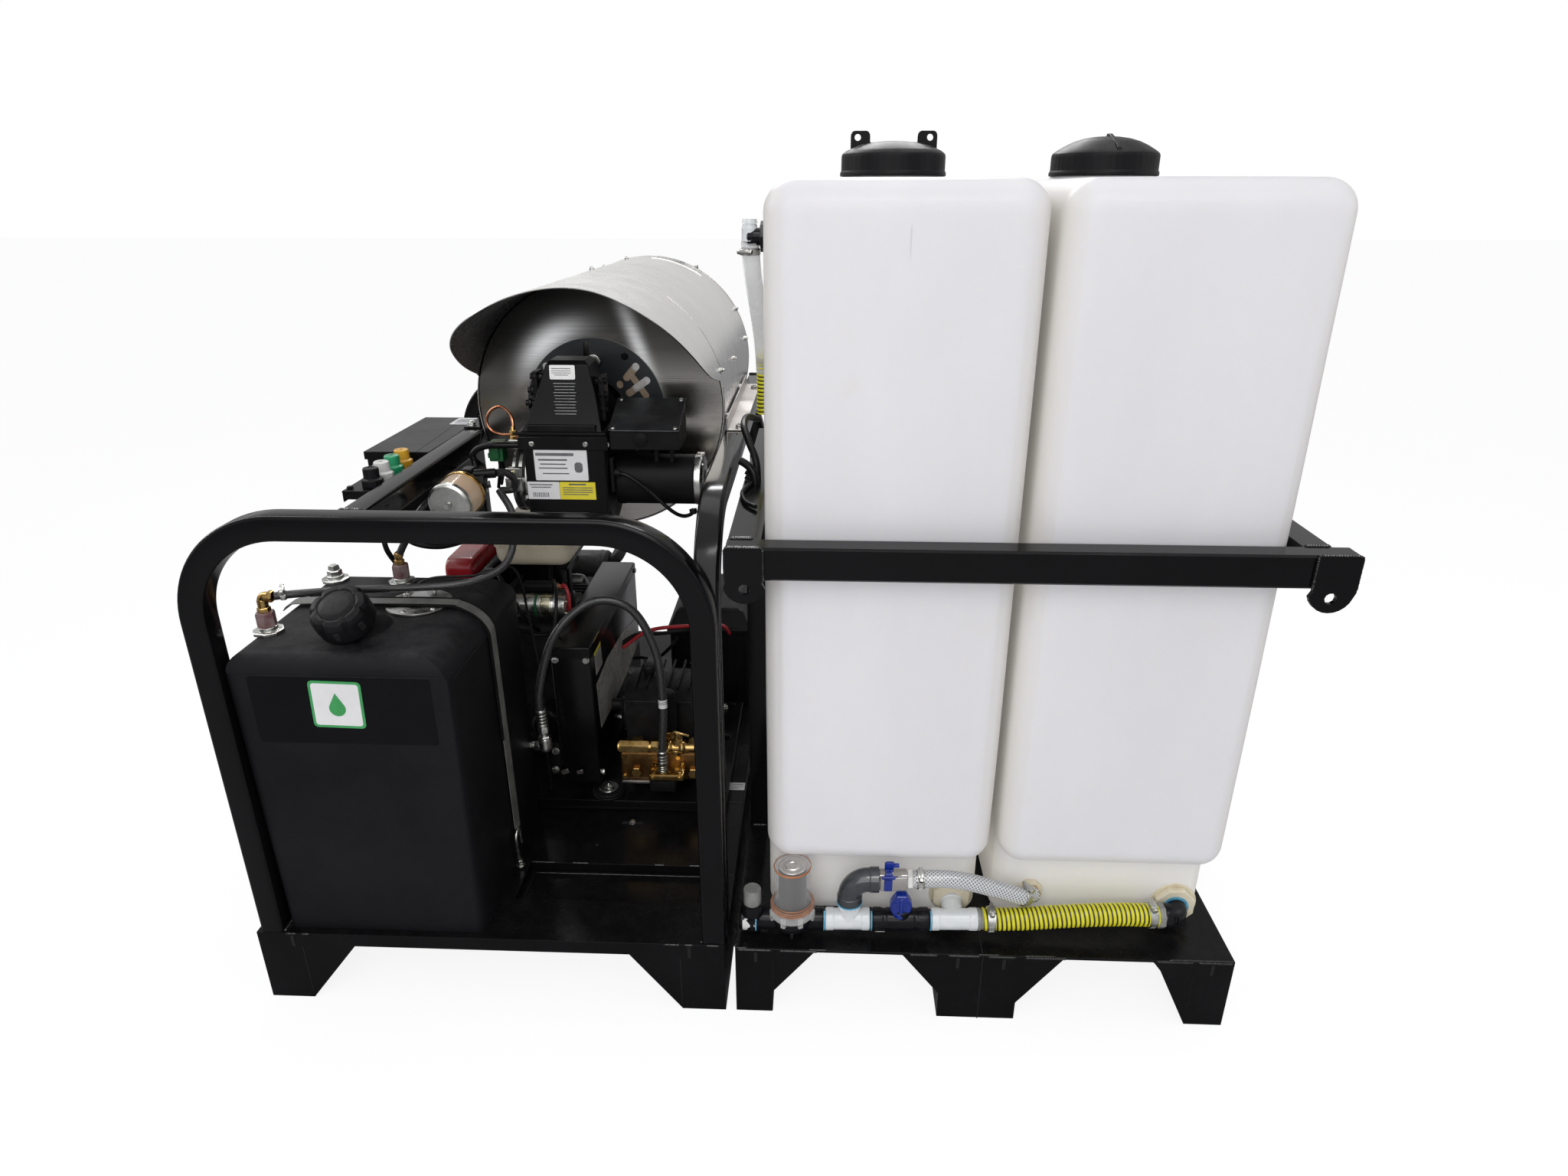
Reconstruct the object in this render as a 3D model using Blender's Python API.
"""Skid-mounted hot-water pressure washer: a caged machine skid on the left and a
water-tank skid on the right. Metres, +Z up, +X to the right and +Y to the back as seen
from the operator's side. The origin is on the floor, under the middle of the machine.

Pieces are laid out with x = 0 at the left edge of the tank skid and y = 0 at the skids'
front edges. Machine-skid pieces are given with x = 0 at that skid's right edge."""
import math

import bmesh
import bpy
import numpy as np
from mathutils import Matrix, Vector

# ---------------------------------------------------------------- shared dimensions
GAP = 0.0003                      # clearance between touching pieces
FACET = 0.62                      # fineness of the round pieces
SHARP_ANGLE = math.radians(35)
QUARTER = math.pi / 2
GUSSET_T = 0.006                  # thickness of the base gussets

# Machine skid: base and cage
MACHINE_W, MACHINE_D = 0.780, 1.200
DECK_Z = 0.138                    # deck top
ON_DECK = DECK_Z + GAP
TUBE = 0.038                      # square cage tube
CAGE_TOP = 0.865
CAGE_L, CAGE_R = -0.7725, 0.0015  # outer faces of the hoops
HOOP_BEND = 0.146                 # centre-line bend radii
RAIL_BEND = 0.150
HOOP_INSET = 0.020                # hoop centre line from the skid's ends
RAIL_TOP = 0.862
RAIL_Z = RAIL_TOP - TUBE / 2
RAIL_FRONT = HOOP_INSET + TUBE / 2 + GAP
RAIL_BACK = MACHINE_D - RAIL_FRONT
LEFT_RAIL_X = -0.511
RIGHT_RAIL_X = CAGE_R - TUBE / 2
RAIL_LEG_Y = 0.0625               # front leg of the right rail
PLATE_Z = 0.165                   # top of the raised pump and engine plate
ON_PLATE = PLATE_Z + GAP

# Diesel tank
FUEL_LEFT, FUEL_RIGHT = -0.7310, -0.3990
FUEL_FRONT, FUEL_BACK, FUEL_TOP = 0.014, 0.3520, 0.645
NECK_AT = (-0.570, 0.105, 0.640)
NECK_AXIS = Vector((-0.05, -0.50, 0.865)).normalized()

# Engine, pump and belt drive
ENGINE_LEFT, ENGINE_RIGHT = -0.556, -0.362
ENGINE_Y, ENGINE_Z = 0.720, 0.400       # engine shaft
PUMP_Y, PUMP_Z = 0.500, 0.300           # pump shaft
PUMP_PULLEY_R, ENGINE_PULLEY_R = 0.085, 0.048
BELT_X = -0.318                         # middle plane of belt and pulleys
BELT_W, PULLEY_W = 0.017, 0.036
VALVE_X, VALVE_Y = -0.146, 0.406        # unloader valve axis

# Heating coil and burner
COIL_X, COIL_Z = -0.2645, 0.908         # jacket axis
JACKET_R, JACKET_T = 0.230, 0.002       # outer radius and sheet thickness
JACKET_FRONT, JACKET_BACK = 0.540, 1.155
BURNER_X, BURNER_Z = -0.272, 0.905      # burner flange centre
BLAST_HOLE_R = 0.052
MOTOR_Y, MOTOR_Z = 0.435, 0.800         # axis of burner motor, blower wheel and air band
HOUSING_LEFT, HOUSING_RIGHT = -0.362, -0.222

# Control box and nozzle rack
BOX_LEFT, BOX_RIGHT, BOX_FRONT, BOX_BACK = -0.6400, -0.5310, 0.370, 0.640
BOX_WALL = 0.002
NOZZLE_X, NOZZLE_Y, NOZZLE_PITCH = -0.561, 0.2180, 0.039   # front nozzle and spacing

# Tank skid
SKID_GAP = 0.0175                       # machine skid to tank skid
TANK_BASE_W, TANK_BASE_D, TANK_DECK_Z = 0.804, 0.720, 0.134
TANK_FRONT, TANK_DEPTH, TANK_TOP = 0.0435, 0.650, 1.290
LID_R, LID_Y = 0.0795, 0.370
LEFT_LID_X, RIGHT_LID_X = 0.2300, 0.5450
FRAME_BOTTOM, FRAME_TOP, FRAME_RIGHT = 0.781, 0.829, 0.845
LUG_FRONT = -0.006                      # front face of the frame's rounded lugs

# Suction plumbing
PIPE_Y, PIPE_Z, PIPE_R = 0.042, 0.1605, 0.0242
STRAINER_X, STRAINER_SEAT_Z = 0.0925, 0.187
BYPASS_TEE_X, MAIN_VALVE_X = 0.1860, 0.2720
BYPASS_X, BYPASS_Z, BYPASS_END = 0.2485, 0.2405, 0.2893

# Moves the layout so that its middle lies on the scene origin
TO_CENTRE = Vector(((SKID_GAP + MACHINE_W - FRAME_RIGHT) / 2, -(LUG_FRONT + MACHINE_D) / 2, 0.0))

ALONG_X, ALONG_Y, ALONG_Z = (1, 0, 0), (0, 1, 0), (0, 0, 1)


def machine_x(x):
    """Machine-skid x to layout x."""
    return x - SKID_GAP


def machine(x, y, z):
    """Machine-skid point to layout point."""
    return Vector((machine_x(x), y, z))


# ---------------------------------------------------------------- materials
def material(name, color, roughness, metallic=0.0):
    made = bpy.data.materials.new(name)
    made.use_nodes = True
    shader = made.node_tree.nodes["Principled BSDF"]
    shader.inputs["Base Color"].default_value = (*color, 1)
    shader.inputs["Roughness"].default_value = roughness
    shader.inputs["Metallic"].default_value = metallic
    made.diffuse_color = (*color, 1)
    return made


BLACK_GLOSS = material("black_powder_coat", color=(0.008, 0.008, 0.010), roughness=0.22)
BLACK_SHEET = material("black_sheet", color=(0.010, 0.010, 0.012), roughness=0.32)
BLACK_MATT = material("black_plastic", color=(0.014, 0.014, 0.017), roughness=0.62)
TANK_BLACK = material("black_moulded_tank", color=(0.016, 0.016, 0.019), roughness=0.68)
TANK_WHITE = material("white_moulded_tank", color=(0.83, 0.83, 0.80), roughness=0.45)
STEEL = material("brushed_stainless", color=(0.62, 0.60, 0.57), roughness=0.30, metallic=1.0)
ZINC = material("zinc_plated", color=(0.60, 0.60, 0.58), roughness=0.35, metallic=1.0)
BRASS = material("brass", color=(0.72, 0.50, 0.20), roughness=0.32, metallic=1.0)
CAST = material("cast_aluminium", color=(0.45, 0.45, 0.45), roughness=0.50, metallic=1.0)
IRON = material("dark_cast_iron", color=(0.05, 0.05, 0.055), roughness=0.60, metallic=0.6)
RED = material("red_cover", color=(0.52, 0.012, 0.02), roughness=0.35)
CREAM = material("cream_tank", color=(0.72, 0.66, 0.52), roughness=0.42)
RUBBER = material("black_rubber", color=(0.012, 0.012, 0.012), roughness=0.75)
PVC_WHITE = material("white_pvc", color=(0.80, 0.82, 0.82), roughness=0.30)
PVC_GREY = material("grey_pvc", color=(0.10, 0.11, 0.12), roughness=0.35)
BLUE = material("blue_handle", color=(0.01, 0.035, 0.42), roughness=0.38)
CLEAR = material("clear_bowl", color=(0.80, 0.76, 0.72), roughness=0.10)
YELLOW = material("yellow_hose", color=(0.80, 0.74, 0.03), roughness=0.42)
BRAID = material("braided_hose", color=(0.75, 0.76, 0.76), roughness=0.25)
GREEN = material("green_plastic", color=(0.02, 0.35, 0.14), roughness=0.42)
ORANGE = material("orange_plastic", color=(0.80, 0.42, 0.03), roughness=0.42)
NOZZLE_WHITE = material("nozzle_white", color=(0.78, 0.78, 0.76), roughness=0.42)
STRAP_GREY = material("strap_grey", color=(0.22, 0.22, 0.21), roughness=0.55)


# ---------------------------------------------------------------- outlines and paths
def arc(centre, radius, start, end, steps):
    """Points of a circular arc, both ends included; angles in radians."""
    angles = [start + (end - start) * k / steps for k in range(steps + 1)]
    return [(centre[0] + radius * math.cos(t), centre[1] + radius * math.sin(t)) for t in angles]


def polygon(radius, sides):
    return arc((0, 0), radius, 0, 2 * math.pi, sides)[:-1]


def circle(radius, sides):
    return polygon(radius, max(8, round(sides * FACET)))


def rounded_square(half, radius):
    points = []
    for quarter, (u, w) in enumerate(((1, 1), (-1, 1), (-1, -1), (1, -1))):
        corner = (u * (half - radius), w * (half - radius))
        points += arc(corner, radius, quarter * QUARTER, (quarter + 1) * QUARTER, 2)
    return points


def smooth_path(points, steps=3):
    """Catmull-Rom curve through points, in `steps` pieces between neighbours."""
    points = [Vector(p) for p in points]
    points = [points[0] * 2 - points[1]] + points + [points[-1] * 2 - points[-2]]
    curve = []
    for i in range(1, len(points) - 2):
        p0, p1, p2, p3 = points[i - 1:i + 3]
        for k in range(steps):
            t = k / steps
            curve.append(0.5 * ((2 * p1) + (p2 - p0) * t
                                + (2 * p0 - 5 * p1 + 4 * p2 - p3) * t * t
                                + (3 * p1 - p0 - 3 * p2 + p3) * t ** 3))
    curve.append(points[-2])
    return curve


# ---------------------------------------------------------------- solid bodies
def outward(bm):
    bmesh.ops.recalc_face_normals(bm, faces=bm.faces[:])
    return bm


def bridge(bm, ring_a, ring_b):
    """Join two closed rings of equal length by quads."""
    count = len(ring_a)
    for k in range(count):
        j = (k + 1) % count
        bm.faces.new((ring_a[k], ring_a[j], ring_b[j], ring_b[k]))


def loft(sections):
    """Skin a row of closed sections and cap both ends."""
    bm = bmesh.new()
    rings = [[bm.verts.new(p) for p in section] for section in sections]
    for ring_a, ring_b in zip(rings, rings[1:]):
        bridge(bm, ring_a, ring_b)
    bm.faces.new(rings[0])
    bm.faces.new(rings[-1])
    return outward(bm)


def edges_along(axis):
    """Edge filter: the box edges that run along an axis."""
    i = "XYZ".index(axis)
    return lambda edge: abs(edge.verts[0].co[i] - edge.verts[1].co[i]) > 0.01


def edges_above(z):
    """Edge filter: the edges that lie wholly above a height."""
    return lambda edge: all(v.co.z > z for v in edge.verts)


def box(x, y, z, bevel=0.0, segments=1, only=None):
    """Box between (low, high) spans, with all edges or those passing `only` bevelled."""
    bm = bmesh.new()
    bmesh.ops.create_cube(bm, size=1.0)
    for v in bm.verts:
        v.co = Vector([span[0] if c < 0 else span[1] for c, span in zip(v.co, (x, y, z))])
    if bevel > 0:
        edges = [e for e in bm.edges if only is None or only(e)]
        bmesh.ops.bevel(bm, geom=edges, offset=bevel, segments=segments, profile=0.5,
                        affect="EDGES")
    return outward(bm)


def machine_box(x, y, z, **bevelling):
    return box((machine_x(x[0]), machine_x(x[1])), y, z, **bevelling)


def prism(points, axis, low, high):
    """Extrude a polygon of (y, z), (x, z) or (x, y) points along X, Y or Z."""
    place = {"X": lambda p, d: (d, p[0], p[1]),
             "Y": lambda p, d: (p[0], d, p[1]),
             "Z": lambda p, d: (p[0], p[1], d)}[axis]
    return loft([[place(p, d) for p in points] for d in (low, high)])


def machine_prism(points, axis, low, high):
    if axis == "X":
        return prism(points, axis, machine_x(low), machine_x(high))
    return prism([(machine_x(x), other) for x, other in points], axis, low, high)


def lathe(profile, origin, axis, sides=24, start=0.0):
    """Revolve a closed (radius, height) loop; the radius may be 0 at the loop's ends."""
    sides = max(9, round(sides * FACET))
    origin = Vector(origin)
    along = Vector(axis).normalized()
    reference = Vector((0, 0, 1)) if abs(along.z) < 0.9 else Vector((1, 0, 0))
    u = reference.cross(along).normalized()
    w = along.cross(u).normalized()
    turns = [start + 2 * math.pi * k / sides for k in range(sides)]
    bm = bmesh.new()
    rings = []
    for radius, height in profile:
        centre = origin + along * height
        if radius <= 1e-9:
            rings.append([bm.verts.new(centre)])
        else:
            rings.append([bm.verts.new(centre + (u * math.cos(t) + w * math.sin(t)) * radius)
                          for t in turns])
    closed = len(rings[0]) > 1 or len(rings[-1]) > 1
    for p, q in zip(rings, rings[1:] + ([rings[0]] if closed else [])):
        if len(p) == 1 and len(q) == 1:
            continue
        for k in range(sides):
            j = (k + 1) % sides
            if len(p) == 1:
                bm.faces.new((p[0], q[k], q[j]))
            elif len(q) == 1:
                bm.faces.new((p[k], q[0], p[j]))
            else:
                bm.faces.new((p[k], q[k], q[j], p[j]))
    return outward(bm)


def cylinder(origin, axis, radius, length, sides=24, chamfer=0.0, start=0.0):
    if chamfer:
        profile = [(0, 0), (radius - chamfer, 0), (radius, chamfer), (radius, length - chamfer),
                   (radius - chamfer, length), (0, length)]
    else:
        profile = [(0, 0), (radius, 0), (radius, length), (0, length)]
    return lathe(profile, origin, axis, sides, start)


def sweep(path, profile, up=ALONG_Y):
    """Sweep a profile along a path; its first axis starts along `up` and never twists."""
    path = [Vector(p) for p in path]
    legs = [(b - a).normalized() for a, b in zip(path, path[1:])]
    tangents = [legs[0]] + [(a + b).normalized() for a, b in zip(legs, legs[1:])] + [legs[-1]]
    u = Vector(up)
    u = (u - tangents[0] * u.dot(tangents[0])).normalized()
    sections = []
    for i, tangent in enumerate(tangents):
        u = (u - tangent * u.dot(tangent)).normalized()
        w = tangent.cross(u)
        stretch = 1.0
        bend = None
        if 0 < i < len(path) - 1:
            # Mitre: widen the section across the bend so that the tube keeps its width
            cosine = legs[i - 1].dot(legs[i])
            stretch = 1.0 / max(0.5, math.sqrt((1 + cosine) / 2))
            turn = legs[i] - legs[i - 1]
            if turn.length > 1e-7:
                bend = turn.normalized()
        section = []
        for a, b in profile:
            offset = u * a + w * b
            if bend is not None:
                offset += bend * offset.dot(bend) * (stretch - 1)
            section.append(path[i] + offset)
        sections.append(section)
    return loft(sections)


def move(bm, position, angle=0.0, axis="X"):
    """Turn a body about an axis through its origin, then shift it."""
    matrix = Matrix.Translation(position) @ Matrix.Rotation(angle, 4, axis)
    bmesh.ops.transform(bm, matrix=matrix, verts=bm.verts[:])
    return bm


# ---------------------------------------------------------------- Booleans and objects
def temporary_object(bm):
    mesh = bpy.data.meshes.new("tmp")
    bm.to_mesh(mesh)
    bm.free()
    ob = bpy.data.objects.new("tmp", mesh)
    bpy.context.scene.collection.objects.link(ob)
    return ob


def boolean(bm, others, operation):
    """Apply an exact Boolean with each of `others` in turn."""
    base = temporary_object(bm)
    for other in others:
        tool = temporary_object(other)
        modifier = base.modifiers.new("b", "BOOLEAN")
        modifier.operation = operation
        modifier.solver = "EXACT"
        modifier.object = tool
        depsgraph = bpy.context.evaluated_depsgraph_get()
        mesh = bpy.data.meshes.new_from_object(base.evaluated_get(depsgraph))
        base.modifiers.remove(modifier)
        base.data = mesh
        bpy.data.objects.remove(tool, do_unlink=True)
    result = bmesh.new()
    result.from_mesh(base.data)
    bpy.data.objects.remove(base, do_unlink=True)
    bmesh.ops.remove_doubles(result, verts=result.verts[:], dist=1e-6)
    bmesh.ops.dissolve_degenerate(result, edges=result.edges[:], dist=1e-6)
    return result


def union(bm, *others):
    return boolean(bm, others, "UNION")


def cut(bm, *others):
    return boolean(bm, others, "DIFFERENCE")


def add(name, bm, surface, origin):
    """Make the named object, its origin at a layout point."""
    origin = Vector(origin)
    for v in bm.verts:
        v.co -= origin
    mesh = bpy.data.meshes.new(name)
    bm.to_mesh(mesh)
    bm.free()
    mesh.materials.append(surface)
    mesh.shade_smooth()
    mesh.set_sharp_from_angle(angle=SHARP_ANGLE)
    ob = bpy.data.objects.new(name, mesh)
    ob.location = origin + TO_CENTRE
    bpy.context.scene.collection.objects.link(ob)


# ================================================================ machine skid
def machine_base():
    """Deck with a sunken pan, on two runners open to the middle, with gussets at the ends."""
    runner_w, wall = 0.0736, 0.004
    deck_under = DECK_Z - 0.0245
    deck = machine_box((-MACHINE_W, 0), (0, MACHINE_D), (deck_under, DECK_Z))
    parts = []
    for outer, inward in ((-MACHINE_W, 1), (0.0, -1)):
        inner = outer + inward * runner_w
        runner = machine_box(sorted((outer, inner)), (0.0, MACHINE_D), (0.0, deck_under + 0.005))
        hollow = machine_box(sorted((outer + inward * wall, inner + inward * 0.02)),
                             (GUSSET_T, MACHINE_D - GUSSET_T), (wall, deck_under - wall))
        parts.append(cut(runner, hollow))
    top = deck_under + 0.004
    outlines = (                                   # (x, z)
        [(-0.707, 0.0), (-0.6145, top), (-0.712, top), (-0.712, 0.0)],
        [(-0.0731, 0.0), (-0.068, 0.0), (-0.068, top), (-0.1608, top)])
    for y in (0.0, MACHINE_D - GUSSET_T):
        parts += [machine_prism(outline, "Y", y, y + GUSSET_T) for outline in outlines]
    pan = machine_box((-0.375, -0.052), (0.099, 0.196), (DECK_Z - 0.020, DECK_Z + 0.02))
    add("machine_base", cut(union(deck, *parts), pan), BLACK_GLOSS,
        machine(-MACHINE_W / 2, MACHINE_D / 2, 0))


def cage():
    """Front and rear hoops, a straight left rail and a right rail with a front leg."""
    section = rounded_square(TUBE / 2, 0.005)
    left, right = machine_x(CAGE_L + TUBE / 2), machine_x(CAGE_R - TUBE / 2)
    bend_z = CAGE_TOP - TUBE / 2 - HOOP_BEND
    outline = [(left, ON_DECK)]                    # (x, z)
    outline += arc((left + HOOP_BEND, bend_z), HOOP_BEND, math.pi, QUARTER, 8)
    outline += arc((right - HOOP_BEND, bend_z), HOOP_BEND, QUARTER, 0, 8)
    outline.append((right, ON_DECK))
    for name, y in (("front_hoop", HOOP_INSET), ("rear_hoop", MACHINE_D - HOOP_INSET)):
        add(name, sweep([(x, y, z) for x, z in outline], section), BLACK_GLOSS,
            machine(CAGE_L, y, DECK_Z))

    ends = [machine(LEFT_RAIL_X, y, RAIL_Z) for y in (RAIL_FRONT, RAIL_BACK)]
    add("left_top_rail", sweep(ends, section, ALONG_X), BLACK_GLOSS,
        machine(LEFT_RAIL_X, 0.04, RAIL_Z))
    bend_centre = (RAIL_LEG_Y + RAIL_BEND, RAIL_Z - RAIL_BEND)
    outline = ([(RAIL_LEG_Y, ON_DECK)]             # (y, z)
               + arc(bend_centre, RAIL_BEND, math.pi, QUARTER, 8) + [(RAIL_BACK, RAIL_Z)])
    add("right_top_rail", sweep([machine(RIGHT_RAIL_X, y, z) for y, z in outline],
                                section, ALONG_X),
        BLACK_GLOSS, machine(RIGHT_RAIL_X, RAIL_LEG_Y, DECK_Z))


def engine_plate():
    """Raised L-shaped plate for the pump and the engine, on six short feet."""
    outline = [(-0.640, 0.3545), (-0.030, 0.3545), (-0.030, 0.760), (-0.230, 0.760),
               (-0.230, 0.930), (-0.640, 0.930)]   # (x, y)
    feet_at = ((-0.60, 0.40), (-0.30, 0.40), (-0.07, 0.40),
               (-0.60, 0.88), (-0.27, 0.88), (-0.07, 0.72))
    plate = machine_prism(outline, "Z", PLATE_Z - 0.016, PLATE_Z)
    feet = [cylinder(machine(x, y, ON_DECK), ALONG_Z, 0.017, 0.018, 16) for x, y in feet_at]
    add("engine_plate", union(plate, *feet), BLACK_GLOSS, machine(-0.335, 0.64, 0.16))


def diesel_tank():
    """Moulded tank with sloped shoulders, rounded upright edges and a leaning filler neck."""
    outline = [(FUEL_LEFT, ON_DECK), (FUEL_RIGHT, ON_DECK), (FUEL_RIGHT, 0.607),
               (FUEL_RIGHT - 0.018, 0.627), (FUEL_RIGHT - 0.060, FUEL_TOP),
               (FUEL_LEFT + 0.030, FUEL_TOP), (FUEL_LEFT + 0.006, 0.633),
               (FUEL_LEFT, 0.618)]                 # (x, z)
    tank = machine_prism(outline, "Y", FUEL_FRONT, FUEL_BACK)
    shoulder = [(-0.01, 0.610), (0.0, 0.617), (0.008, 0.634), (0.026, FUEL_TOP + 0.0005),
                (0.026, FUEL_TOP + 0.02), (-0.01, FUEL_TOP + 0.02)]   # (inward y, z) cut away
    tank = cut(tank, *[
        machine_prism([(face + inward * y, z) for y, z in shoulder], "X",
                      FUEL_LEFT - 0.01, FUEL_RIGHT + 0.01)
        for face, inward in ((FUEL_FRONT, 1), (FUEL_BACK, -1))])
    uprights = []
    for edge in tank.edges:
        span = edge.verts[0].co - edge.verts[1].co
        if abs(span.x) < 1e-5 and abs(span.y) < 1e-5 and abs(span.z) > 0.3:
            uprights.append(edge)
    bmesh.ops.bevel(tank, geom=uprights, offset=0.014, segments=3, profile=0.5, affect="EDGES")
    neck = cylinder(machine(*NECK_AT) - NECK_AXIS * 0.02, NECK_AXIS, 0.030, 0.0715, 24)
    add("diesel_tank", union(tank, neck), TANK_BLACK, machine(-0.565, 0.19, ON_DECK))


def diesel_tank_fittings():
    neck = machine(*NECK_AT)
    cap = [(0.0315, 0.0345), (0.0430, 0.0345), (0.0440, 0.0370), (0.0440, 0.0690),
           (0.0380, 0.0770), (0, 0.0780), (0, 0.0525), (0.0315, 0.0525)]
    add("diesel_cap", lathe(cap, neck, NECK_AXIS), BLACK_MATT, neck)

    sender_x, sender_y = -0.514, 0.212
    sender = cylinder(machine(sender_x, sender_y, FUEL_TOP + GAP), ALONG_Z, 0.053, 0.004, 28,
                      chamfer=0.0008)
    add("sender_plate", sender, ZINC, machine(sender_x, sender_y, FUEL_TOP))

    strap_y, half_w, half_t = 0.205, 0.014, 0.0009
    line = [(FUEL_LEFT + 0.001, 0.6515), (FUEL_RIGHT - 0.056, 0.6515),
            (FUEL_RIGHT - 0.015, 0.6330), (FUEL_RIGHT + 0.0035, 0.607),
            (FUEL_RIGHT + 0.0035, 0.215)]          # (x, z), over the top and down the right
    section = [(-half_w, -half_t), (half_w, -half_t), (half_w, half_t), (-half_w, half_t)]
    add("tank_strap", sweep([machine(x, strap_y, z) for x, z in line], section), STRAP_GREY,
        machine(FUEL_RIGHT, strap_y, 0.65))


def engine():
    """V-twin block with its fan cover, fuel tank, starter motor and muffler."""
    crankcase = [(0.575, ON_PLATE), (0.865, ON_PLATE), (0.865, 0.36), (0.820, 0.44),
                 (0.620, 0.44), (0.575, 0.36)]     # (y, z)
    block = machine_prism(crankcase, "X", ENGINE_LEFT, ENGINE_RIGHT)
    banks = []
    for side in (-1, 1):
        bank = machine_box((-0.545, -0.375), (-0.055, 0.055), (0.0, 0.150), bevel=0.010)
        banks.append(move(bank, (0, ENGINE_Y + side * 0.035, 0.395),
                          -side * math.radians(42), "X"))
    add("engine_block", union(block, *banks), IRON, machine(-0.46, ENGINE_Y, 0.30))

    fan_z = 0.385
    cover = machine_box((-0.612, ENGINE_LEFT - 0.0005), (0.555, 0.875), (0.200, 0.590),
                        bevel=0.030, segments=2, only=edges_along("X"))
    opening = cylinder(machine(-0.62, ENGINE_Y, fan_z), ALONG_X, 0.085, 0.030)
    add("engine_fan_cover", cut(cover, opening), RED, machine(-0.58, ENGINE_Y, fan_z))

    tank = machine_box((-0.545, -0.352), (0.500, 0.790), (0.568, 0.664), bevel=0.022, segments=2)
    add("engine_fuel_tank", tank, CREAM, machine(-0.45, 0.645, 0.61))
    starter = cylinder(machine(-0.470, 0.498, 0.520), ALONG_X, 0.0230, 0.118, 20, chamfer=0.003)
    add("starter_motor", starter, ZINC, machine(-0.41, 0.498, 0.52))
    muffler = cylinder(machine(-0.555, 0.945, 0.420), ALONG_X, 0.050, 0.190, chamfer=0.010)
    add("muffler", muffler, IRON, machine(-0.46, 0.945, 0.42))


def belt_guard():
    """Sheet box around the belt, with a hole for each shaft."""
    left, right, front, back, bottom, top = -0.352, -0.277, 0.362, 0.812, 0.200, 0.495
    sheet, hole_r = 0.002, 0.024
    guard = machine_box((left, right), (front, back), (bottom, top), bevel=0.004,
                        only=edges_above(0.4))
    inside = machine_box((left + sheet, right - sheet), (front + sheet, back - sheet),
                         (bottom + sheet, top - 0.004))
    guard = cut(guard, inside,
                cylinder(machine(right - 0.02, PUMP_Y, PUMP_Z), ALONG_X, hole_r, 0.04, 20),
                cylinder(machine(left - 0.02, ENGINE_Y, ENGINE_Z), ALONG_X, hole_r, 0.04, 20))
    add("belt_guard", guard, BLACK_SHEET, machine(-0.3145, 0.587, bottom))


def pulley(name, y, z, radius, shaft_r, left_shaft=0.0, right_shaft=0.0):
    """Pulley with one wide groove, and a shaft reaching out on its left or right."""
    rim, slope = 0.004, 0.009
    profile = [(0, -left_shaft)]
    if left_shaft:
        profile += [(shaft_r, -left_shaft), (shaft_r, 0)]
    profile += [(radius, 0), (radius, rim), (radius - 0.009, slope),
                (radius - 0.009, PULLEY_W - slope), (radius, PULLEY_W - rim), (radius, PULLEY_W)]
    if right_shaft:
        profile += [(shaft_r, PULLEY_W), (shaft_r, PULLEY_W + right_shaft)]
    profile.append((0, PULLEY_W + right_shaft))
    body = lathe(profile, machine(BELT_X - PULLEY_W / 2, y, z), ALONG_X, 28)
    add(name, body, IRON, machine(BELT_X, y, z))


def drive_belt():
    """Closed loop on the tangent lines of the two pulleys, in their grooves."""
    dy, dz = ENGINE_Y - PUMP_Y, ENGINE_Z - PUMP_Z
    distance, slope = math.hypot(dy, dz), math.atan2(dz, dy)

    def loop(offset):
        pump_r, engine_r = PUMP_PULLEY_R + offset, ENGINE_PULLEY_R + offset
        tangent = math.acos((pump_r - engine_r) / distance)
        return (arc((PUMP_Y, PUMP_Z), pump_r, slope + tangent,
                    slope + 2 * math.pi - tangent, 14)
                + arc((ENGINE_Y, ENGINE_Z), engine_r, slope - tangent, slope + tangent, 7))

    inner, outer = loop(-0.0080), loop(0.0010)
    left, right = machine_x(BELT_X - BELT_W / 2), machine_x(BELT_X + BELT_W / 2)
    belt = bmesh.new()
    rows = [[belt.verts.new((x, y, z)) for y, z in points]
            for x, points in ((left, inner), (left, outer), (right, outer), (right, inner))]
    for row_a, row_b in zip(rows, rows[1:] + [rows[0]]):
        bridge(belt, row_a, row_b)
    add("drive_belt", outward(belt), RUBBER, machine(BELT_X, PUMP_Y, PUMP_Z))


def belt_drive():
    belt_guard()
    pulley("pump_pulley", PUMP_Y, PUMP_Z, PUMP_PULLEY_R, 0.012, right_shaft=0.0645)
    pulley("engine_pulley", ENGINE_Y, ENGINE_Z, ENGINE_PULLEY_R, 0.0125, left_shaft=0.0255)
    drive_belt()


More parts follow.
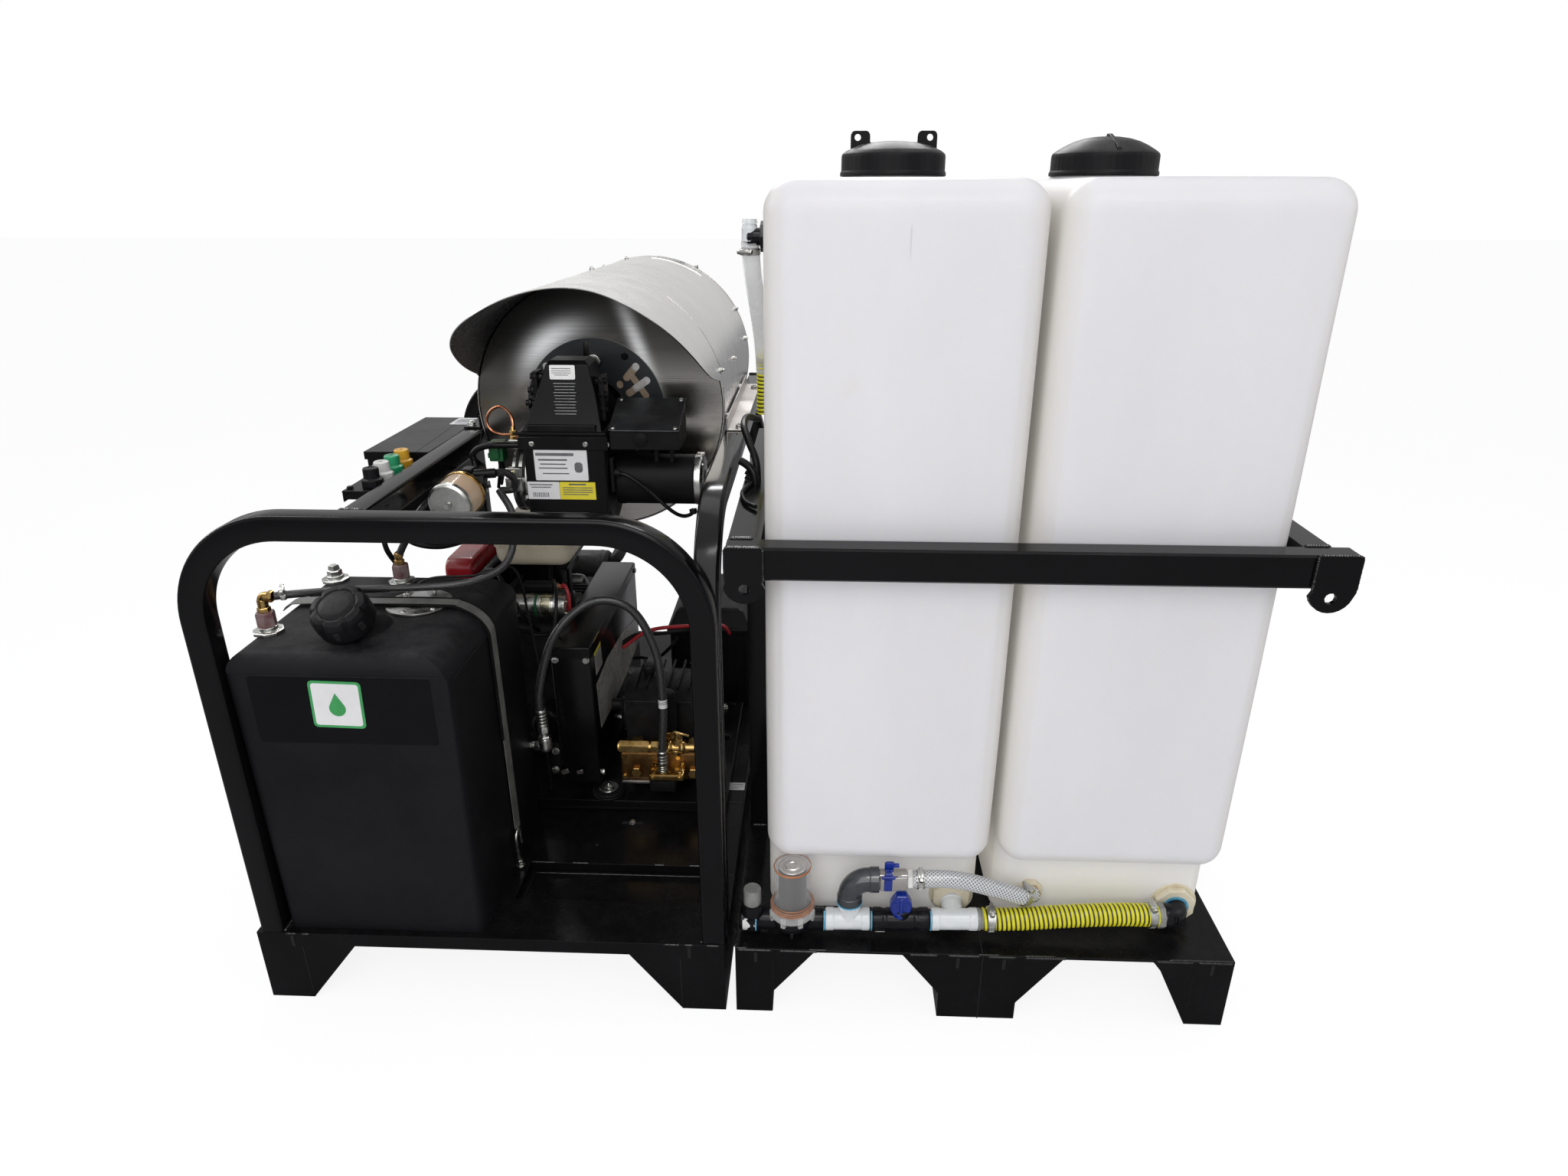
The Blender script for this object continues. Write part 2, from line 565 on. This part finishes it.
def pump():
    """Pump body, brass manifold, unloader valve with its knob, and pressure hose."""
    outline = [(0.4325, ON_PLATE), (0.590, ON_PLATE), (0.590, 0.33), (0.555, 0.362),
               (0.470, 0.362), (0.4325, 0.325)]    # (y, z)
    add("pump_body", machine_prism(outline, "X", -0.2350 + GAP, -0.095), IRON,
        machine(-0.165, 0.51, ON_PLATE))

    outlet_x, outlet_y, manifold_top = -0.151, 0.352, 0.262
    manifold = union(
        machine_box((-0.240, -0.068), (0.380, 0.4320), (0.198, manifold_top), bevel=0.003),
        machine_box((-0.176, -0.126), (0.336, 0.384), (0.200, 0.224)),
        cylinder(machine(outlet_x, outlet_y, 0.220), ALONG_Z, 0.009, 0.010, 16))
    add("pump_manifold", manifold, BRASS, machine(-0.154, VALVE_Y, 0.23))

    valve = [(0, 0), (0.013, 0), (0.013, 0.018), (0.010, 0.020), (0.010, 0.034),
             (0.0065, 0.036), (0.0065, 0.050), (0, 0.050)]
    add("unloader_valve",
        lathe(valve, machine(VALVE_X, VALVE_Y, manifold_top + GAP), ALONG_Z, 18), BRASS,
        machine(VALVE_X, VALVE_Y, manifold_top))
    knob = [(0.0072, 0), (0.0165, 0), (0.0175, 0.003), (0.0175, 0.070), (0.015, 0.080),
            (0, 0.084), (0, 0.016), (0.0072, 0.016)]
    knob_at = machine(VALVE_X, VALVE_Y, 0.300)
    add("unloader_knob", lathe(knob, knob_at, ALONG_Z, 20), RUBBER, knob_at)

    hose = [(-0.370, 0.330, 0.352), (-0.370, 0.333, 0.420), (-0.340, 0.360, 0.520),
            (-0.275, 0.390, 0.575), (-0.205, 0.400, 0.560), (-0.160, 0.388, 0.480),
            (-0.147, 0.366, 0.380), (-0.150, 0.353, 0.290), (outlet_x, outlet_y, 0.2305)]
    add("pressure_hose", sweep(smooth_path([machine(*p) for p in hose]), circle(0.0078, 10)),
        RUBBER, machine(*hose[0]))


# Front edge of the jacket, which reaches forward as a visor on top and is straight
# elsewhere: (degrees about the axis from +X towards +Z, y)
VISOR = [
    (12, JACKET_FRONT), (13, 0.522), (16.6, 0.462), (21, 0.420), (30.3, 0.375), (40, 0.346),
    (48, 0.328), (55.5, 0.3165), (62.5, 0.312), (70, 0.316), (76.5, 0.320), (85, 0.320),
    (95, 0.314), (104, 0.298), (112, 0.280), (124, 0.264), (133, 0.272), (143, 0.318),
    (152, 0.388), (158, 0.445), (162, 0.490), (165, 0.528), (166, JACKET_FRONT)]


def coil_jacket():
    """Thin drum, closed at the back and open at its visored front."""
    visor_angles, visor_ys = zip(*VISOR)
    candidates = sorted(set(visor_angles) | set(range(0, 360, 6)))
    # Leave out angles crowding the one before, but keep the visor's last point
    angles = [a for i, a in enumerate(candidates)
              if i == 0 or a - candidates[i - 1] > 1.5 or a == visor_angles[-1]]
    front = [float(np.interp(a, visor_angles, visor_ys)) for a in angles]
    bm = bmesh.new()

    def ring(radius, ys):
        return [bm.verts.new((machine_x(COIL_X) + radius * math.cos(math.radians(a)), y,
                              COIL_Z + radius * math.sin(math.radians(a))))
                for a, y in zip(angles, ys)]

    outer_front = ring(JACKET_R, front)
    outer_back = ring(JACKET_R, [JACKET_BACK] * len(angles))
    inner_back = ring(JACKET_R - JACKET_T, [JACKET_BACK - JACKET_T] * len(angles))
    inner_front = ring(JACKET_R - JACKET_T, front)
    bridge(bm, outer_front, outer_back)
    bridge(bm, inner_back, inner_front)
    bridge(bm, inner_front, outer_front)
    bm.faces.new(outer_back)
    bm.faces.new(inner_back)
    add("coil_jacket", outward(bm), STEEL, machine(COIL_X, JACKET_FRONT, COIL_Z))


def coil_front_head():
    """Disc inside the jacket's front, with the burner's opening."""
    disc = cylinder(machine(COIL_X, JACKET_FRONT + 0.0005, COIL_Z), ALONG_Y,
                    JACKET_R - JACKET_T - 0.0011, 0.003, 72)
    opening = cylinder(machine(BURNER_X, JACKET_FRONT - 0.05, BURNER_Z), ALONG_Y,
                       BLAST_HOLE_R, 0.1, 32)
    add("coil_front_head", cut(disc, opening), STEEL, machine(COIL_X, JACKET_FRONT, COIL_Z))


def heating_coil():
    turns, steps_per_turn = 5, 12
    coil_r, wire_r, front, length = 0.170, 0.0135, 0.650, 0.400
    steps = turns * steps_per_turn
    circuit = arc((COIL_X, COIL_Z), coil_r, 0, 2 * math.pi * turns, steps)
    helix = [machine(x, front + length * k / steps, z) for k, (x, z) in enumerate(circuit)]
    add("heating_coil", sweep(helix, polygon(wire_r, 5)), IRON, machine(COIL_X, 0.84, COIL_Z))


def coil_bracket(name, rail_x, side, surface):
    """Angle along a rail's top, its upright at the edge nearer the jacket."""
    sheet, height = 0.003, 0.024
    outer = rail_x + side * TUBE / 2
    inner = rail_x - side * (TUBE / 2 - 0.0045)
    foot = RAIL_TOP + GAP
    outline = [(outer, foot), (inner, foot), (inner, foot + height),
               (inner + side * sheet, foot + height), (inner + side * sheet, foot + sheet),
               (outer, foot + sheet)]              # (x, z)
    add(name, machine_prism(outline, "Y", 0.545, 1.010), surface, machine(rail_x, 0.78, foot))


def coil_assembly():
    coil_jacket()
    coil_front_head()
    heating_coil()
    coil_bracket("coil_bracket_left", LEFT_RAIL_X, -1, BLACK_SHEET)
    coil_bracket("coil_bracket_right", RIGHT_RAIL_X, 1, ZINC)


def burner_plate():
    """Round flange with a central hole and scattered slots."""
    slots = (            # x and z from the centre, width, height, tilt in degrees
        (-0.003, 0.098, 0.010, 0.040, 0), (-0.088, 0.045, 0.014, 0.026, 20),
        (-0.098, 0.012, 0.014, 0.026, -10), (0.092, 0.045, 0.014, 0.046, 35),
        (0.074, 0.062, 0.014, 0.052, -20), (0.058, 0.020, 0.012, 0.020, 30),
        (0.080, -0.062, 0.014, 0.040, 40))
    plate = cylinder(machine(BURNER_X, 0.5345, BURNER_Z), ALONG_Y, 0.127, 0.0050, 48)
    holes = [cylinder(machine(BURNER_X, 0.50, BURNER_Z), ALONG_Y, BLAST_HOLE_R, 0.06, 32)]
    for x, z, width, height, tilt in slots:
        slot = box((-width / 2, width / 2), (-0.02, 0.02), (-height / 2, height / 2),
                   bevel=width * 0.40, only=edges_along("Y"))
        holes.append(move(slot, machine(BURNER_X + x, 0.537, BURNER_Z + z),
                          math.radians(tilt), "Y"))
    add("burner_plate", cut(plate, *holes), BLACK_SHEET, machine(BURNER_X, 0.537, BURNER_Z))


def burner_housing():
    """Fan scroll with its top flange, blast tube to the back and air inlet on the left."""
    drum = cylinder(machine(HOUSING_LEFT, MOTOR_Y, MOTOR_Z), ALONG_X, 0.072,
                    HOUSING_RIGHT - HOUSING_LEFT, 32)
    housing = union(
        drum,
        machine_box((HOUSING_LEFT + 0.0006, HOUSING_RIGHT - 0.0006), (0.364, MOTOR_Y),
                    (0.757, 0.888)),
        machine_box((-0.3675, -0.2165), (0.360, 0.470), (0.884, 0.893)),
        machine_box((-0.338, -0.226), (MOTOR_Y, 0.512), (0.785, 0.886)),
        cylinder(machine(BURNER_X, 0.505, BURNER_Z), ALONG_Y, 0.045, 0.150, 28),
        cylinder(machine(-0.393, MOTOR_Y, MOTOR_Z), ALONG_X, 0.0545, 0.035, 28))
    bores = ((-0.3575, 0.062, 0.1225, 32),         # wheel chamber: x, radius, length, sides
             (-0.40, 0.0490, 0.05, 28),            # air inlet
             (-0.25, 0.0080, 0.05, 12))            # shaft hole
    housing = cut(housing, *[cylinder(machine(x, MOTOR_Y, MOTOR_Z), ALONG_X, radius, length, sides)
                             for x, radius, length, sides in bores])
    add("burner_housing", housing, BLACK_SHEET, machine(-0.292, MOTOR_Y, MOTOR_Z))


def burner_turning_parts():
    """Blower wheel, air band and motor: name, surface, left end, origin x, sides, profile."""
    parts = (
        ("blower_wheel", CAST, -0.3210, -0.29, 24,
         [(0, 0.048), (0.010, 0.048), (0.010, 0.062), (0.0480, 0.062), (0.0480, 0.0),
          (0.0550, 0.0), (0.0550, 0.068), (0.0060, 0.068), (0.0060, 0.0993), (0, 0.0993)]),
        ("air_band", ZINC, -0.3925, -0.378, 32,
         [(0.0562, 0), (0.0590, 0), (0.0590, 0.0290), (0.0562, 0.0290)]),
        ("burner_motor", BLACK_GLOSS, HOUSING_RIGHT + 0.0008, -0.14, 32,
         [(0, 0), (0.030, 0), (0.030, 0.006), (0.045, 0.006), (0.045, 0.146),
          (0.0455, 0.147), (0.0455, 0.158), (0.041, 0.1605), (0, 0.1605)]))
    for name, surface, left, origin_x, sides, profile in parts:
        add(name, lathe(profile, machine(left, MOTOR_Y, MOTOR_Z), ALONG_X, sides), surface,
            machine(origin_x, MOTOR_Y, MOTOR_Z))


def burner_fittings():
    """Tapered igniter on the housing, junction box beside it, and the fuel filter."""
    levels = (                                     # left, right, front, back, z
        (-0.3670, -0.2170, 0.362, 0.455, 0.8935), (-0.3670, -0.2170, 0.362, 0.455, 0.8990),
        (-0.3560, -0.2240, 0.368, 0.452, 0.8992), (-0.3100, -0.2290, 0.386, 0.446, 1.0080),
        (-0.3040, -0.2350, 0.392, 0.441, 1.0150))
    sections = [[machine(left, front, z), machine(right, front, z), machine(right, back, z),
                 machine(left, back, z)] for left, right, front, back, z in levels]
    add("igniter", loft(sections), BLACK_MATT, machine(-0.292, 0.457, 0.8935))

    outline = [(0.368, 0.869), (0.462, 0.869), (0.462, 0.938), (0.368, 0.903)]   # (y, z)
    add("junction_box", machine_prism(outline, "X", -0.2135, -0.095), BLACK_SHEET,
        machine(-0.154, 0.415, 0.87))

    bowl = [(0, 0), (0.033, 0), (0.035, 0.003), (0.035, 0.012), (0.0345, 0.013),
            (0.0345, 0.048), (0.036, 0.049), (0.036, 0.060), (0.014, 0.062), (0.014, 0.090),
            (0, 0.090)]
    bowl_at = machine(-0.440, 0.205, 0.818)
    add("fuel_filter", lathe(bowl, bowl_at, (0.10, 0.985, 0.10), 28), CLEAR, bowl_at)


def oil_burner():
    burner_plate()
    burner_housing()
    burner_turning_parts()
    burner_fittings()


def control_box():
    bottom, lid_bottom = 0.700, 0.8596
    body = machine_box((BOX_LEFT, BOX_RIGHT), (BOX_FRONT, BOX_BACK), (bottom, 0.8592))
    inside = machine_box((BOX_LEFT + BOX_WALL, BOX_RIGHT - BOX_WALL),
                         (BOX_FRONT + BOX_WALL, BOX_BACK - BOX_WALL), (bottom + BOX_WALL, 0.90))
    add("control_box", cut(body, inside), BLACK_SHEET, machine(-0.585, 0.505, bottom))
    lid = machine_box((BOX_LEFT - 0.0015, BOX_RIGHT + 0.0003),
                      (BOX_FRONT - 0.0015, BOX_BACK + 0.0015), (lid_bottom, 0.8620))
    add("control_box_lid", lid, BLACK_SHEET, machine(BOX_LEFT, 0.505, lid_bottom))


def nozzle_rack():
    """Flat rack with a row of four nozzles, front to back."""
    nozzles = [(name, NOZZLE_Y + k * NOZZLE_PITCH, surface) for k, (name, surface) in enumerate((
        ("nozzle_black", BLACK_MATT), ("nozzle_white", NOZZLE_WHITE),
        ("nozzle_green", GREEN), ("nozzle_orange", ORANGE)))]
    rack_top = 0.844
    rack = machine_box((-0.600, BOX_RIGHT), (0.192, 0.362), (0.840, rack_top))
    rack = cut(rack, *[cylinder(machine(NOZZLE_X, y, 0.83), ALONG_Z, 0.0105, 0.03, 16)
                       for _, y, _ in nozzles])
    add("nozzle_rack", rack, BLACK_SHEET, machine(-0.565, 0.277, 0.842))
    profile = [(0, 0), (0.0072, 0), (0.0072, 0.030), (0.0090, 0.032), (0.0090, 0.0447),
               (0.0150, 0.0447), (0.0160, 0.047), (0.0160, 0.056), (0.0120, 0.059),
               (0.0120, 0.074), (0.0075, 0.076), (0, 0.076)]
    for name, y, surface in nozzles:
        add(name, lathe(profile, machine(NOZZLE_X, y, 0.800), ALONG_Z, 14), surface,
            machine(NOZZLE_X, y, rack_top))


def battery_box():
    case = machine_box((-0.200, -0.014), (0.790, 1.060), (ON_DECK, 0.335), bevel=0.008,
                       only=edges_along("Z"))
    lid = machine_box((-0.206, -0.008), (0.784, 1.066), (0.325, 0.380), bevel=0.012,
                      only=edges_above(0.37))
    add("battery_box", union(case, lid), BLACK_MATT, machine(-0.107, 0.925, 0.25))


# ================================================================ water-tank skid
def tank_base():
    """Deck sheet on three solid runners, with gussets at the front and at the back."""
    deck_under = TANK_DECK_Z - 0.005
    top = deck_under + 0.002
    runners = [(0.0, 0.0615), (0.3350, 0.4630), (0.7420, TANK_BASE_W)]
    outlines = (                                   # (x, z)
        [(0.055, 0.0425), (0.0613, 0.0425), (0.1310, top), (0.055, top)],
        [(0.3353, 0.0490), (0.345, 0.0490), (0.345, top), (0.2710, top)],
        [(0.455, 0.0340), (0.4625, 0.0340), (0.5335, top), (0.455, top)],
        [(0.7422, 0.001), (0.750, 0.001), (0.750, top), (0.6740, top), (0.6895, 0.1108)])
    deck = box((0, TANK_BASE_W), (0, TANK_BASE_D), (deck_under, TANK_DECK_Z))
    parts = [box(runner, (0, TANK_BASE_D), (0.0, top)) for runner in runners]
    for y in (0.0, TANK_BASE_D - GUSSET_T):
        parts += [prism(outline, "Y", y, y + GUSSET_T) for outline in outlines]
    add("tank_base", union(deck, *parts), BLACK_GLOSS, (TANK_BASE_W / 2, TANK_BASE_D / 2, 0))


def tank_frame():
    """Belt of beams around the tanks on four posts, with two holed lugs at the front."""
    left_rail, right_rail = (0.0005, 0.038), (0.785, 0.823)
    rail_z = (FRAME_BOTTOM + 0.0004, FRAME_TOP - 0.0004)
    frame = box((0.0, FRAME_RIGHT), (0.0, 0.038), (FRAME_BOTTOM, FRAME_TOP), bevel=0.003,
                only=edges_along("X"))
    parts = [box(rail, (0.030, 0.716), rail_z) for rail in (left_rail, right_rail)]
    parts.append(box((0.001, right_rail[1] - 0.0005), (0.6975, 0.7155),
                     (FRAME_BOTTOM + 0.0008, FRAME_TOP - 0.0008)))
    for y in (0.330, 0.6972):
        for post in ((0.002, 0.037), (0.786, 0.803)):
            parts.append(box(post, (y, y + 0.018), (TANK_DECK_Z + GAP, FRAME_BOTTOM + 0.01)))
    lug_r, lug_z, lug_top = 0.030, 0.779, FRAME_TOP + 0.001
    holes = []
    for centre, left, right in ((0.0255, -0.001, 0.050), (0.8130, 0.788, FRAME_RIGHT)):
        outline = [(left, lug_top), (left, lug_z)]          # (x, z)
        outline += arc((centre, lug_z), lug_r, math.pi, 2 * math.pi, 12)[1:-1]
        outline += [(right, lug_z), (right, lug_top)]
        parts.append(prism(outline, "Y", LUG_FRONT, 0.001))
        holes.append(cylinder((centre, -0.05, 0.770), ALONG_Y, 0.0080, 0.0515, 16))
    add("tank_frame", cut(union(frame, *parts), *holes), BLACK_GLOSS, (0.42, 0.019, 0.805))


def water_tank(name, left, right, lid_x):
    """Rounded tank on a narrower foot, with a round neck on top."""
    body = box((left, right), (TANK_FRONT, TANK_FRONT + TANK_DEPTH), (0.286, TANK_TOP),
               bevel=0.038, segments=3)
    foot = box((left + 0.010, right - 0.014), (0.107, 0.640), (TANK_DECK_Z + GAP, 0.340),
               bevel=0.024, segments=2, only=edges_along("Z"))
    neck = cylinder((lid_x, LID_Y, TANK_TOP - 0.02), ALONG_Z, 0.066, 0.052, 32)
    add(name, union(body, foot, neck), TANK_WHITE, ((left + right) / 2, LID_Y, TANK_DECK_Z))


def lid_body(x, crown_lift):
    profile = [(0.0675, 0.0), (LID_R, 0.0), (LID_R, 0.006), (LID_R - 0.003, 0.008),
               (LID_R - 0.003, 0.030), (0.070, 0.036), (0.045, 0.044 + crown_lift),
               (0, 0.049 + crown_lift), (0, 0.029), (0.0675, 0.029)]
    return lathe(profile, (x, LID_Y, TANK_TOP + 0.006), ALONG_Z, 32)


def tank_lids():
    """The left lid carries two holed tabs, the right lid one ridge towards the front."""
    lid = lid_body(LEFT_LID_X, 0.0)
    tab_outline = [(-0.014, 0.0), (0.014, 0.0), (0.014, 0.030), (0.007, 0.036),
                   (-0.007, 0.036), (-0.014, 0.030)]        # (x, z)
    tabs = []
    for side in (-1, 1):
        tab = cut(prism(tab_outline, "Y", -0.0035, 0.0035),
                  cylinder((0, -0.02, 0.024), ALONG_Y, 0.0045, 0.04, 10))
        tabs.append(move(tab, (LEFT_LID_X + side * 0.062, LID_Y, TANK_TOP + 0.036)))
    add("left_tank_lid", union(lid, *tabs), BLACK_MATT, (LEFT_LID_X, LID_Y, TANK_TOP))

    ridge_outline = [(0.004, 0.030), (0.070, 0.030), (0.066, 0.044), (0.010, 0.058)]  # (y, z)
    ridge = move(prism(ridge_outline, "X", -0.004, 0.004),
                 (RIGHT_LID_X, LID_Y, TANK_TOP + 0.006), math.pi, "Z")
    add("right_tank_lid", union(lid_body(RIGHT_LID_X, 0.004), ridge), BLACK_MATT,
        (RIGHT_LID_X, LID_Y, TANK_TOP))


# ---------------------------------------------------------------- suction plumbing
def strainer():
    elbow_x = 0.0265
    body = union(
        cylinder((0.0050, PIPE_Y, PIPE_Z), ALONG_X, 0.0235, 0.1405),
        cylinder((STRAINER_X, PIPE_Y, 0.150), ALONG_Z, 0.0375, 0.037, 28),
        cylinder((elbow_x, PIPE_Y, PIPE_Z), ALONG_Z, 0.0205, 0.0330),
        cylinder((elbow_x, PIPE_Y, PIPE_Z + 0.01), ALONG_Z, 0.0165, 0.0515))
    add("strainer_body", body, BLACK_MATT, (STRAINER_X, PIPE_Y, PIPE_Z))
    bowl = [(0.0262, 0), (0.0378, 0), (0.0378, 0.014), (0.0302, 0.017), (0.0296, 0.086),
            (0.0250, 0.0925), (0, 0.0940), (0, 0.0905), (0.0235, 0.0890), (0.0262, 0.083)]
    add("strainer_bowl",
        lathe(bowl, (STRAINER_X, PIPE_Y, STRAINER_SEAT_Z + GAP), ALONG_Z, 28), CLEAR,
        (STRAINER_X, PIPE_Y, STRAINER_SEAT_Z))


def suction_line():
    """White pipe run with two upward branches and one branch back to the left tank."""
    run = [(0, 0.1460), (PIPE_R, 0.1460), (PIPE_R, 0.2262), (0.0236, 0.2266),
           (0.0236, 0.3176), (PIPE_R, 0.3180), (PIPE_R, 0.3965), (0.0165, 0.3965),
           (0.0165, 0.4075), (0, 0.4075)]          # (radius, x)
    turn = 0.07                                    # keeps branch facets off the run's facets
    branch_z, branch_y = PIPE_Z + 0.004, PIPE_Y + 0.004
    line = union(
        lathe(run, (0, PIPE_Y, PIPE_Z), ALONG_X),
        cylinder((BYPASS_TEE_X, PIPE_Y, branch_z), ALONG_Z, 0.0225, 0.0260, 22, start=turn),
        cylinder((MAIN_VALVE_X, PIPE_Y, branch_z), ALONG_Z, 0.0150, 0.0250, 18, start=turn),
        cylinder((0.3570, branch_y, PIPE_Z + 0.006), ALONG_Y, 0.0200, 0.1066 - branch_y, 22,
                 start=turn))
    add("suction_line", line, PVC_WHITE, (MAIN_VALVE_X, PIPE_Y, PIPE_Z))

    stem_z = PIPE_Z + 0.0290
    handle = union(
        cylinder((MAIN_VALVE_X, PIPE_Y, stem_z + GAP), ALONG_Z, 0.0125, 0.016, 20),
        box((MAIN_VALVE_X - 0.0170, MAIN_VALVE_X + 0.0170), (PIPE_Y - 0.0055, PIPE_Y + 0.0055),
            (PIPE_Z + 0.040, PIPE_Z + 0.0655), bevel=0.004))
    add("main_valve_handle", handle, BLUE, (MAIN_VALVE_X, PIPE_Y, stem_z))


def bypass():
    """Grey elbow and valve above the suction line, its lever, and the hose to the tank."""
    bend_r = 0.030
    outline = [(BYPASS_TEE_X, PIPE_Z + 0.0303)]    # (x, z)
    outline += arc((BYPASS_TEE_X + bend_r, BYPASS_Z - bend_r), bend_r, math.pi, QUARTER, 6)
    outline.append((0.2320, BYPASS_Z))
    valve = union(
        sweep([(x, PIPE_Y, z) for x, z in outline], circle(0.0195, 20)),
        box((0.2310, 0.2780), (PIPE_Y - 0.0135, PIPE_Y + 0.0135),
            (BYPASS_Z - 0.0125, BYPASS_Z + 0.0130), bevel=0.003),
        cylinder((BYPASS_X, PIPE_Y, BYPASS_Z), ALONG_Z, 0.0060, 0.0160, 14),
        cylinder((0.2770, PIPE_Y, BYPASS_Z), ALONG_X, 0.0095, 0.0120, 16))
    add("bypass_valve", valve, PVC_GREY, (BYPASS_X, PIPE_Y, BYPASS_Z))

    stem_top = BYPASS_Z + 0.0160
    lever = union(
        cylinder((BYPASS_X, PIPE_Y, stem_top + GAP), ALONG_Z, 0.0055, 0.006, 14),
        box((BYPASS_X - 0.0175, BYPASS_X + 0.0175), (PIPE_Y - 0.0045, PIPE_Y + 0.0045),
            (BYPASS_Z + 0.0190, BYPASS_Z + 0.0330), bevel=0.002))
    add("bypass_valve_lever", lever, BLUE, (BYPASS_X, PIPE_Y, stem_top))

    start = (BYPASS_END, PIPE_Y, BYPASS_Z)
    curve = smooth_path([
        (0.2960, PIPE_Y, BYPASS_Z), (0.3300, PIPE_Y, BYPASS_Z + 0.003),
        (0.3750, 0.044, BYPASS_Z - 0.002), (0.4250, 0.052, 0.220), (0.4600, 0.068, 0.201),
        (0.4760, 0.0960, 0.196)])
    path = [start] + curve + [(0.4760, 0.1064, 0.196)]
    add("bypass_hose", sweep(path, circle(0.0140, 14)), BRAID, start)


def suction_hose():
    """Yellow hose to the right, and the elbow that turns back into the right tank."""
    path = [(0.4080, PIPE_Y, PIPE_Z), (0.4800, 0.043, 0.1605), (0.5600, 0.046, 0.1665),
            (0.6300, 0.050, 0.1685), (0.6870, 0.0535, 0.1685)]
    add("suction_hose", sweep(smooth_path(path), circle(0.0205, 20)), YELLOW, path[0])

    bend_x, bend_y, bend_r, elbow_z = 0.7080, 0.0545, 0.018, 0.1685
    outlet_x = bend_x + bend_r
    outline = [(0.6874, 0.0535), (bend_x, bend_y)]          # (x, y)
    outline += arc((bend_x, bend_y + bend_r), bend_r, -QUARTER, 0, 5)[1:]
    outline.append((outlet_x, 0.1064))
    elbow = union(sweep([(x, y, elbow_z) for x, y in outline], circle(0.0180, 18), ALONG_Z),
                  cylinder((outlet_x, 0.0920, elbow_z), ALONG_Y, 0.0330, 0.0144, 8))
    add("tank_outlet_elbow", elbow, BLACK_MATT, (outlet_x, bend_y, elbow_z))


# ================================================================ build
for old in list(bpy.data.objects):
    bpy.data.objects.remove(old, do_unlink=True)

machine_base()
cage()
engine_plate()
diesel_tank()
diesel_tank_fittings()
engine()
belt_drive()
pump()
coil_assembly()
oil_burner()
control_box()
nozzle_rack()
battery_box()

tank_base()
tank_frame()
water_tank("left_water_tank", 0.0505, 0.4093, LEFT_LID_X)
water_tank("right_water_tank", 0.4241, 0.7803, RIGHT_LID_X)
tank_lids()
strainer()
suction_line()
bypass()
suction_hose()
